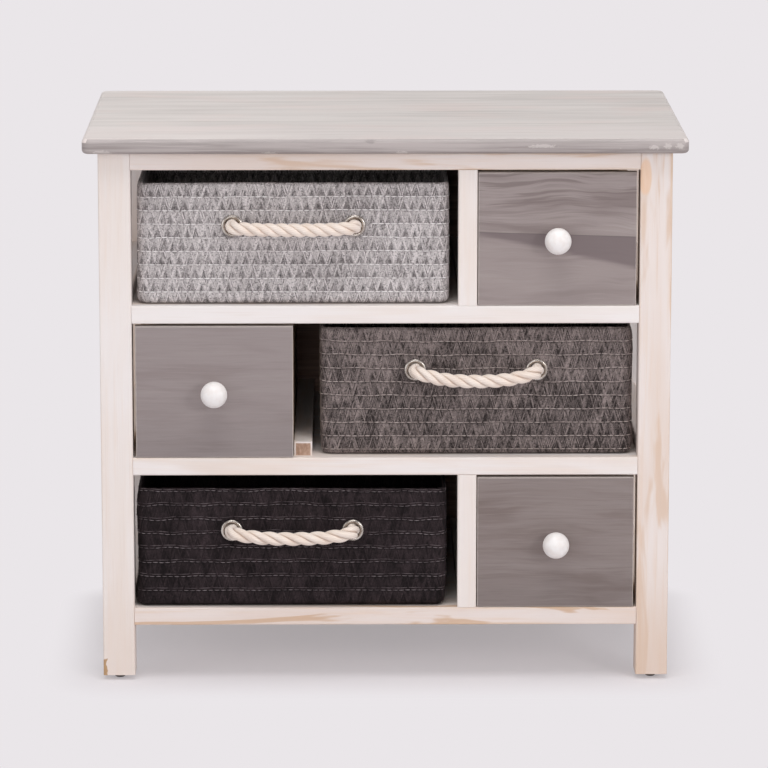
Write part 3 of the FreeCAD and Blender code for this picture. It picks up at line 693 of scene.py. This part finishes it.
    def sew(self, number, in_row, pitch, span, radius, light, dark):
        """Short stitches of thread just over each seam of the outer wall; the lower basket's second line is a
        lighter cord along each fold edge, a painted highlight.
        """
        length = self.outline.length
        spots = np.append(self.outline.at, length)
        shares = np.linspace(0, 1, len(STITCH_SWELL))
        outer = np.flatnonzero((self.run < 0) & (self.stations[:, 2] > 0.5))
        deepest = int(math.floor(-self.row_at[outer[0]].max()))
        count = int(length / pitch)
        stitches = []
        for seam in range(self.style["first"], deepest + 1):
            wall = self.wall_line(outer, in_row - seam)
            for n in range(count):
                begin = n * length / count + (seam % 2) * pitch / 2
                where = np.mod(begin + shares * span, length)
                line = np.stack([np.interp(where, spots, wall[:, k]) for k in range(3)], axis=1)
                if not self.near_eyelet(line[1]):
                    stitches.append(stitch(line, radius))
        mat = thread_material(f"thread_{self.row}_{number}", light, dark)
        name = f"basket_stitches_{self.row}_{number}"
        new_piece(name, *gathered(stitches), mat, f"basket_{self.row}", SLOTS[self.row])


def make_basket(row, seed):
    basket = Basket(row, seed)
    basket.make_shell()
    for number, line in enumerate(BRAIDS[row]["lines"]):
        basket.sew(number, *line)


# Finishes of the CAD pieces
# How much bare wood shows through the wash: all over a piece, and towards the floor on the front legs
TAN = {
    # front_rail_top's high share is partly bare wood and partly painted shade under the top's overhang
    "post_front_right": 0.72, "post_front_left": 0.05, "front_rail_top": 0.78, "front_rail_upper": -0.12,
    "front_rail_middle": 0.12, "front_rail_lower": 1.05, "divider_upper": 0.0, "divider_lower": 0.0,
}
USUAL_TAN = 0.2
LOW_TAN = {"post_front_left": 0.2, "post_front_right": 0.55}


def blot(s, ragged, across, rise, wide, tall):
    """A ragged oval patch on an upright face, 1 inside and 0 outside."""
    far = s.hypot(s.mul(s.sub(s.x, across), 1 / wide), s.mul(s.sub(s.z, rise), 1 / tall))
    return s.ramp(s.add(far, s.swing(ragged, 3.2)), 0.75, 1.1, 1.0, 0.0)


def worn_edges(s, colour, low, high, along, tan, patch, streak):
    """Bare wood along the long edges of a box."""
    parts = (s.x, s.y, s.z)
    near = [s.within(parts[axis], low[axis], high[axis]) for axis in range(3) if axis != along]
    ragged = s.add(s.most(near[0], near[1]), s.swing(patch, 6 * MM))
    worn = s.mul(s.ramp(ragged, 2.6 * MM, 0.0), s.ramp(streak, 0.40, 0.62, 0.1, 1.0))
    return s.mix(s.mul(worn, 0.12 + 0.5 * tan), colour, tone(219, 186, 154))


def chipped_foot(s, colour, low):
    """A chip in the wash at the foot of a leg's outer front edge."""
    rough_edge = s.swing(s.noise(150.0), 5 * MM)
    inside, upper = low[0] + 3.2 * MM, low[2] + 16 * MM
    outer = s.ramp(s.add(s.x, rough_edge), inside + 0.7 * MM, inside)
    lower = s.ramp(s.add(s.z, rough_edge), upper + 1.5 * MM, upper)
    front = s.ramp(s.y, low[1] + 11 * MM, low[1] + 9 * MM)
    return s.mix(s.mul(s.mul(outer, lower), front), colour, tone(186, 150, 112))


def raw_end(s, colour, low, high, seed):
    """The sawn front end of a guide strip, with a line of wash along its edges."""
    from_edge = s.least(s.within(s.x, low[0], high[0]), s.sub(high[2], s.z))
    unpainted = s.ramp(from_edge, 1.2 * MM, 2.0 * MM)
    rings = s.drawn(s.place, (260.0, 1.0, 120.0), (seed, 0, 2), 4.0, 0.7)
    raw = s.tint(tone(196, 165, 146), tone(164, 130, 108), rings, 0.35, 0.65)
    front = s.ramp(s.y, low[1] + 0.8 * MM, low[1] + 0.4 * MM)
    return s.mix(s.mul(front, unpainted), colour, raw)


def whitewash(node, along, seed):
    """A thin white wash that lets the pale wood through, most along the edges."""
    low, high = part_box(node)
    tan = TAN.get(node, USUAL_TAN)
    s = Shade(f"whitewash_{node}")
    patch = s.grain(along, 26.0, 5.0, seed, 3.0, 0.5, 0.4)
    streak = s.grain(along, 170.0, 7.0, seed + 1, 3.0, 0.6, 0.3)
    grain = s.grain(along, 640.0, 16.0, seed + 2, 2.0, 0.6)
    bare = s.grain(along, 62.0, 6.0, seed + 4, 3.0, 0.55, 0.5)
    white = tone(241 - 5 * tan, 235 - 10 * tan, 233 - 13 * tan)
    cream = tone(238 - 7 * tan, 228 - 14 * tan, 222 - 18 * tan)
    colour = s.tint(white, cream, patch, 0.36, 0.68)
    soft, deep = 0.12 - 0.09 * max(tan, 0), 20 * max(tan - 0.3, 0)
    pale = tone(228 - deep, 201 - 1.3 * deep, 178 - 1.5 * deep)
    colour = s.tint(colour, pale, bare, 0.58 - soft, 0.58 + soft, 0.10 + 0.80 * tan)
    colour = s.tint(colour, tone(229, 203, 181), streak, 0.48, 0.78, 0.18 + 0.35 * tan)
    colour = s.tint(colour, tone(216, 199, 188), grain, 0.54, 0.80, 0.2)
    colour = worn_edges(s, colour, low, high, along, tan, patch, streak)
    if node in LOW_TAN:
        colour = s.tint(colour, tone(217, 190, 168), s.z, low[2] + 150 * MM, low[2] + 10 * MM, LOW_TAN[node])
    if node == "post_front_right":
        blush = blot(s, patch, low[0] + 5 * MM, high[2] - 26 * MM, 6 * MM, 17 * MM)
        colour = s.mix(s.mul(blush, 0.6), colour, tone(240, 197, 158))
    if node == "post_front_left":
        colour = chipped_foot(s, colour, low)
    if node.startswith("guide"):
        colour = raw_end(s, colour, low, high, seed)
    height = s.add(s.mul(grain, 0.6), s.mul(streak, 0.6))
    rough = s.ramp(streak, 0.3, 0.7, 0.5, 0.68)
    return s.finish(colour, rough, s.bump(height, 0.28 * MM, 0.7))


def bare_wood(name, along, seed, light, dark, streaks=1.0):
    """Planed pale wood with its grain."""
    s = Shade(name)
    patch = s.grain(along, 30.0, 3.0, seed, 3.0, 0.5, 0.5)
    streak = s.grain(along, 210.0, 5.0, seed + 1, 3.0, 0.6, 0.3)
    grain = s.grain(along, 800.0, 22.0, seed + 2, 2.0, 0.6)
    share = s.add(s.mul(patch, 0.5), s.mul(streak, 0.5 * streaks))
    colour = s.tint(light, dark, share, 0.36, 0.64)
    colour = s.shaded(colour, s.ramp(grain, 0.55, 0.8, 1.0, 0.86))
    rough = s.ramp(streak, 0.3, 0.7, 0.6, 0.78)
    return s.finish(colour, rough, s.bump(grain, 0.2 * MM, 0.6))


def back_board():
    """Thin plywood: darker and redder on the inside, a painted shade for the dark inside of the chest; bare
    with the veneer's wavy figure on the outside.
    """
    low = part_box("back_panel")[0]
    s = Shade("back_board")
    bend = s.drawn(s.place, (2.2, 1.0, 7.0), (3, 0, 1), 3.0, 0.55, 0.6)
    ring = s.absolute(s.sub(s.fract(s.add(s.mul(bend, 9.0), s.mul(s.z, 7.0))), 0.5))
    streak = s.grain(0, 240.0, 9.0, 5.0, 3.0, 0.6, 0.3)
    grain = s.grain(0, 900.0, 40.0, 6.0, 2.0, 0.6)
    outer = s.tint(tone(196, 163, 127), tone(217, 190, 157), ring, 0.05, 0.45)
    outer = s.tint(outer, tone(187, 152, 116), streak, 0.45, 0.75, 0.5)
    # Painted shade: the inner face is darker and redder to stand for the shade inside the chest
    inner = s.tint(tone(178, 148, 134), tone(152, 122, 110), streak, 0.36, 0.64)
    colour = s.tint(inner, outer, s.y, low[1] + 1 * MM, low[1] + 1.5 * MM)
    colour = s.shaded(colour, s.ramp(grain, 0.52, 0.8, 1.0, 0.84))
    rough = s.ramp(streak, 0.3, 0.7, 0.6, 0.78)
    return s.finish(colour, rough, s.bump(grain, 0.2 * MM, 0.6))


def joined_boards(s, colour, low, high, mid, streak):
    """The upper front's two boards: the lower one calmer, with a dark wedge; the upper one figured."""
    across = s.sub(s.x, low[0])
    joint = s.add(s.mul(across, -0.03), high[2] - 60 * MM)
    fall = s.sub(joint, s.add(s.mul(across, 0.19), 1.5 * MM))
    below = s.less(s.z, joint)
    ragged = s.add(s.z, s.swing(streak, 4 * MM))
    wedge = s.mul(below, s.ramp(s.sub(ragged, fall), -4 * MM, 3 * MM))
    colour = s.mix(s.mul(below, 0.45), colour, mid)
    colour = s.mix(s.mul(wedge, 0.85), colour, tone(114, 101, 102))
    colour = s.shaded(colour, s.ramp(s.absolute(s.sub(s.z, joint)), 0.2 * MM, 0.7 * MM, 0.75, 1.0))
    figured = s.mul(s.ramp(streak, 0.50, 0.60), s.ramp(s.z, high[2] - 55 * MM, high[2] - 25 * MM))
    return s.mix(s.mul(figured, 0.7), colour, tone(122, 109, 107))


def drawer_front(row, seed, mid, light, dark, figure):
    """A grey-brown wash over streaked boards, worn light along the edges."""
    low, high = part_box(f"drawer_{row}_front")
    s = Shade(f"grey_wash_{row}")
    bend = s.drawn(s.place, (9.0, 1.0, 16.0), (seed, 0, seed), 2.0)
    bent = s.join(s.x, s.y, s.add(s.z, s.swing(bend, figure)))
    broad = s.drawn(bent, (6.0, 1.0, 46.0), (seed, 3, 1), 3.0, 0.55, 0.4)
    streak = s.drawn(bent, (9.0, 1.0, 210.0), (seed, 5, 2), 3.0, 0.6, 0.2)
    grain = s.drawn(bent, (30.0, 1.0, 900.0), (seed, 7, 3), 2.0, 0.6)
    fine = s.drawn(bent, (14.0, 1.0, 430.0), (seed, 2, 6), 3.0, 0.65, 0.2)
    colour = s.tint(dark, mid, broad, 0.30, 0.52)
    colour = s.tint(colour, light, broad, 0.54, 0.76, 0.8)
    colour = s.tint(colour, dark, streak, 0.54, 0.78, 0.45)
    colour = s.tint(colour, light, fine, 0.50, 0.30, 0.5)
    colour = s.tint(colour, dark, fine, 0.54, 0.74, 0.5)
    colour = s.shaded(colour, s.ramp(grain, 0.5, 0.8, 1.0, 0.9))
    if row == "upper":
        colour = joined_boards(s, colour, low, high, mid, streak)
    else:
        colour = s.shaded(colour, s.ramp(s.z, low[2], low[2] + 70 * MM, 0.86, 1.0))
    rim = s.least(s.within(s.x, low[0], high[0]), s.within(s.z, low[2], high[2]))
    ragged = s.add(rim, s.swing(streak, 1.2 * MM))
    colour = s.tint(colour, tone(206, 197, 190), ragged, 1.3 * MM, 0.4 * MM, 0.5)
    back = s.ramp(s.y, low[1] + 9 * MM, low[1] + 10 * MM)
    colour = s.mix(back, colour, tone(196, 170, 140))
    height = s.add(s.mul(grain, 0.5), s.mul(streak, 0.6))
    rough = s.ramp(streak, 0.3, 0.7, 0.48, 0.66)
    return s.finish(colour, rough, s.bump(height, 0.25 * MM, 0.6))


# The top's glued boards, and places on its front edge where the wash has worn off:
# mm across, share of the thickness, width and height in mm
FIRST_SEAM, BOARD_WIDTH = 95 * MM, 97 * MM
WORN_SPOTS = [
    (154, 0.52, 13, 1.7), (266, 0.45, 5, 2.4), (279, 0.5, 4, 3.0), (291, 0.5, 4, 2.6),
    (-280, 0.08, 10, 2.2), (-114, 0.05, 8, 1.3), (16, 0.1, 6, 1.5),
]


def top_edge(s, low, high):
    """The colour of the top's darker edge, with worn spots and one knot at the front, and painted light and
    shade: lighter towards its upper side and a dark line along its bottom.
    """
    thick = high[2] - low[2]
    streak = s.drawn(s.place, (9.0, 9.0, 330.0), (1, 1, 5), 3.0, 0.6, 0.4)
    edge = s.tint(tone(148, 139, 137), tone(178, 169, 167), streak, 0.34, 0.66)
    spot = s.drawn(s.place, (70.0, 70.0, 240.0), (3, 0, 0), 3.0, 0.7)
    edge = s.tint(edge, tone(222, 214, 208), spot, 0.70, 0.75, 0.7)
    speckle = s.drawn(s.place, (330.0, 330.0, 520.0), rough=0.75)
    front = s.ramp(s.y, low[1] + 6 * MM, low[1] + 12 * MM, 0.5, 0.0)
    for across, rise, wide, tall in WORN_SPOTS:
        worn = blot(s, speckle, across * MM, low[2] + rise * thick, wide * MM, tall * MM)
        edge = s.mix(s.mul(worn, front), edge, tone(224, 217, 213))
    knot = blot(s, spot, -16 * MM, low[2] + 0.8 * thick, 5 * MM, 1.8 * MM)
    edge = s.mix(s.mul(knot, front), edge, tone(104, 94, 92))
    # Painted light: lighter towards the upper side of the rounded edge
    edge = s.tint(edge, tone(206, 198, 196), s.z, low[2] + 3 * MM, high[2] - 2 * MM, 0.3)
    # Painted shade: a dark line along the bottom of the edge
    painted_shade_line = s.ramp(s.z, low[2] + 0.3 * MM, low[2] + 3.0 * MM, 0.4, 0.0)
    return s.mix(painted_shade_line, edge, tone(134, 122, 116))


def grey_top():
    """A pale grey wash over glued boards, on the upper face, with a darker edge."""
    low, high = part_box("top_board")
    s = Shade("grey_top")
    bend = s.swing(s.drawn(s.place, (5.0, 7.0, 1.0), detail=2.0), 22 * MM)
    first_seam = low[1] + FIRST_SEAM
    boards = s.mul(s.sub(s.y, first_seam), 1 / BOARD_WIDTH)
    moved = s.join(s.add(s.x, s.mul(s.floor(boards), 0.37)), s.add(s.y, bend), s.z)
    broad = s.drawn(moved, (4.0, 30.0, 12.0), distort=0.3)
    streak = s.drawn(moved, (5.0, 120.0, 120.0), (2, 1, 0), 3.0, 0.6, 0.2)
    grain = s.drawn(moved, (14.0, 620.0, 620.0), (4, 2, 0), 2.0, 0.6)
    warm = s.drawn(s.place, (7.0, 14.0, 7.0), (8, 2, 0), 2.0)
    colour = s.tint(tone(217, 210, 206), tone(229, 222, 218), broad, 0.34, 0.66)
    colour = s.tint(colour, tone(229, 215, 210), warm, 0.45, 0.7, 0.7)
    colour = s.tint(colour, tone(180, 174, 169), streak, 0.52, 0.74, 0.55)
    colour = s.tint(colour, tone(228, 222, 218), streak, 0.42, 0.28, 0.4)
    colour = s.shaded(colour, s.ramp(grain, 0.52, 0.8, 1.0, 0.93))
    colour = s.mix(s.mul(s.less(s.y, first_seam), 0.4), colour, tone(230, 220, 217))
    # Painted light: the top is lighter towards its left end
    colour = s.shaded(colour, s.ramp(s.x, -250 * MM, 60 * MM, 1.07, 0.97))
    seam = s.within(s.fract(boards), 0.0, 1.0)
    colour = s.shaded(colour, s.ramp(seam, 0.004, 0.013, 0.9, 1.0))
    end = s.ramp(s.absolute(s.x), high[0] - 6 * MM, high[0] - 4 * MM)
    face = s.ramp(s.add(s.z, s.mul(end, 3.5 * MM)), high[2] - 0.5 * MM, high[2] - 0.06 * MM)
    colour = s.mix(face, top_edge(s, low, high), colour)
    height = s.add(s.mul(grain, 0.5), s.add(s.mul(streak, 0.6), s.ramp(seam, 0.0, 0.012, -0.6, 0.0)))
    rough = s.ramp(streak, 0.3, 0.7, 0.42, 0.6)
    return s.finish(colour, rough, s.bump(height, 0.3 * MM, 0.6))


def knob_paint(seed):
    """Brushed white paint with a little dirt."""
    s = Shade(f"knob_white_{seed}")
    brush = s.noise(140.0)
    dirt = s.noise(420.0, 3.0, 0.7, 0.0, s.scaled(s.place, (1.0, 1.0, 1.0), (seed, 0, seed)))
    colour = s.tint(tone(247, 244, 243), tone(240, 234, 231), brush, 0.35, 0.7)
    colour = s.tint(colour, tone(206, 192, 184), dirt, 0.70, 0.80, 0.5)
    rough = s.ramp(brush, 0.3, 0.7, 0.32, 0.45)
    return s.finish(colour, rough, s.bump(brush, 0.25 * MM, 0.5))


def metal(name, colour, worn, low, high):
    """Plated metal, worn in patches, with its lowest and highest roughness."""
    s = Shade(name)
    scratch = s.noise(900.0, 3.0, 0.7)
    patch = s.noise(160.0, 2.0)
    patched = s.tint(colour, worn, patch, 0.35, 0.7)
    rough = s.ramp(scratch, 0.3, 0.7, low, high)
    return s.finish(patched, rough, s.bump(scratch, 0.03 * MM, 0.4), Metallic=1.0)


def glide_plastic():
    s = Shade("glide_dark")
    speck = s.noise(1200.0, 2.0)
    scuff = s.noise(260.0)
    colour = s.tint(tone(62, 52, 50), tone(92, 80, 76), scuff, 0.45, 0.7)
    rough = s.ramp(scuff, 0.3, 0.7, 0.45, 0.65)
    return s.finish(colour, rough, s.bump(speck, 0.05 * MM, 0.5))


def dress_frame():
    """Finishes of the carcass; the grain's axis follows from the first word of a node's name."""
    axis = {"post": 2, "divider": 2, "front": 0, "back": 0, "side": 1, "shelf": 0, "guide": 1}
    washed = sorted(n for n in nodes if n.split("_")[0] in axis and n != "back_panel")
    for number, node in enumerate(washed):
        dress(node, whitewash(node, axis[node.split("_")[0]], 1.0 + number * 1.7))
    dress("top_board", grey_top())
    dress("back_panel", back_board())
    dress("foot_glides", glide_plastic())


def dress_drawers():
    """Finishes of the drawers, and of the metal on the baskets."""
    # Seed, middle, light and dark colour, and how far the grain bends
    fronts = {
        "upper": (3.0, tone(154, 142, 140), tone(168, 157, 154), tone(132, 119, 117), 26 * MM),
        "middle": (8.0, tone(151, 140, 139), tone(157, 147, 145), tone(143, 131, 130), 5 * MM),
        "lower": (14.0, tone(138, 126, 123), tone(147, 136, 133), tone(121, 107, 103), 11 * MM),
    }
    steel = metal("zinc_steel", tone(190, 190, 187), tone(168, 166, 160), 0.28, 0.45)
    nickel = metal("nickel", tone(208, 201, 194), tone(170, 161, 153), 0.2, 0.34)
    box_colours = tone(214, 194, 170), tone(196, 170, 140)
    ply_colours = tone(214, 186, 150), tone(190, 156, 118)
    for number, row in enumerate(ROWS):
        seed = fronts[row][0]
        dress(f"drawer_{row}_front", drawer_front(row, *fronts[row]))
        for part, along, shift in (("side_left", 1, 9), ("side_right", 1, 10), ("back", 0, 5)):
            dress(f"drawer_{row}_{part}", bare_wood(f"box_{row}_{part}", along, seed + shift, *box_colours))
        dress(f"drawer_{row}_bottom", bare_wood(f"ply_{row}", 1, seed + 9, *ply_colours, 1.3))
        dress(f"drawer_{row}_knob", knob_paint(number + 1))
        dress(f"drawer_{row}_knob_screw", steel)
        dress(f"basket_{row}_eyelets", nickel)


# Pale floor and soft studio light
FLOOR_TONE = tone(234, 230, 233)
# Outside this half width and half depth the floor fades to the background, so the shadow stays near the chest
SHADOW_HALF, SHADOW_FADE = (0.27, 0.17), 0.08


def floor_material():
    s = Shade("floor")
    mottle = s.noise(0.6, 2.0)
    s.finish(s.mix(mottle, tone(230, 226, 229), FLOOR_TONE), 0.95, Specular_IOR_Level=0.0)
    sides = zip((s.x, s.y), SHADOW_HALF)
    outside = [s.most(s.sub(s.absolute(value), half), 0.0) for value, half in sides]
    path = s.node("ShaderNodeLightPath").outputs
    seen = s.most(path["Is Camera Ray"], s.most(path["Is Glossy Ray"], path["Is Transmission Ray"]))
    glow = s.node("ShaderNodeEmission", FLOOR_TONE).outputs[0]
    share = s.mul(seen, s.ramp(s.hypot(*outside), 0.0, SHADOW_FADE, 0.36, 1.0))
    blend = s.node("ShaderNodeMixShader", share, s.skin.outputs[0], glow)
    s.put(s.out.inputs[0], blend.outputs[0])
    return s.mat


def make_floor():
    mesh = bpy.data.meshes.new("floor")
    mesh.from_pydata([(-20, -20, 0), (20, -20, 0), (20, 30, 0), (-20, 30, 0)], [], [(0, 1, 2, 3)])
    mesh.materials.append(floor_material())
    floor = bpy.data.objects.new("floor", mesh)
    scene.collection.objects.link(floor)


def soft_box(name, place, aim, width, power, colour=(1, 1, 1)):
    data = bpy.data.lights.new(name, "AREA")
    data.shape = "SQUARE"
    data.size = width
    data.energy = power
    data.color = colour
    lamp = bpy.data.objects.new(name, data)
    lamp.location = place
    way = Vector(aim) - Vector(place)
    lamp.rotation_euler = way.to_track_quat("-Z", "Y").to_euler()
    scene.collection.objects.link(lamp)


def make_light():
    world = bpy.data.worlds.new("studio")
    world.use_nodes = True
    backdrop = world.node_tree.nodes["Background"]
    backdrop.inputs["Color"].default_value = (1.0, 0.985, 0.995, 1.0)
    backdrop.inputs["Strength"].default_value = 0.40
    scene.world = world
    soft_box("key", (1.9, -2.7, 1.25), (0, 0, 0.3), 0.5, 15.0, (1.0, 0.99, 0.99))
    soft_box("fill", (-0.42, -3.98, 1.05), (0, 0, 0.3), 0.8, 11.0)
    soft_box("over", (0, -0.9, 3.2), (0, 0, 0.2), 2.0, 46.0)
    for side in (-1, 1):
        soft_box(f"side_{side}", (side * 2.6, -1.9, 1.0), (0, 0, 0.27), 1.5, 12.0)
    scene.view_settings.view_transform = "Standard"


make_camera()
cotton = rope_material()
for row in ROWS:
    make_rope(row, cotton)
for number, row in enumerate(ROWS):
    make_basket(row, 1.0 + number * 2.3)
dress_frame()
dress_drawers()
make_floor()
make_light()
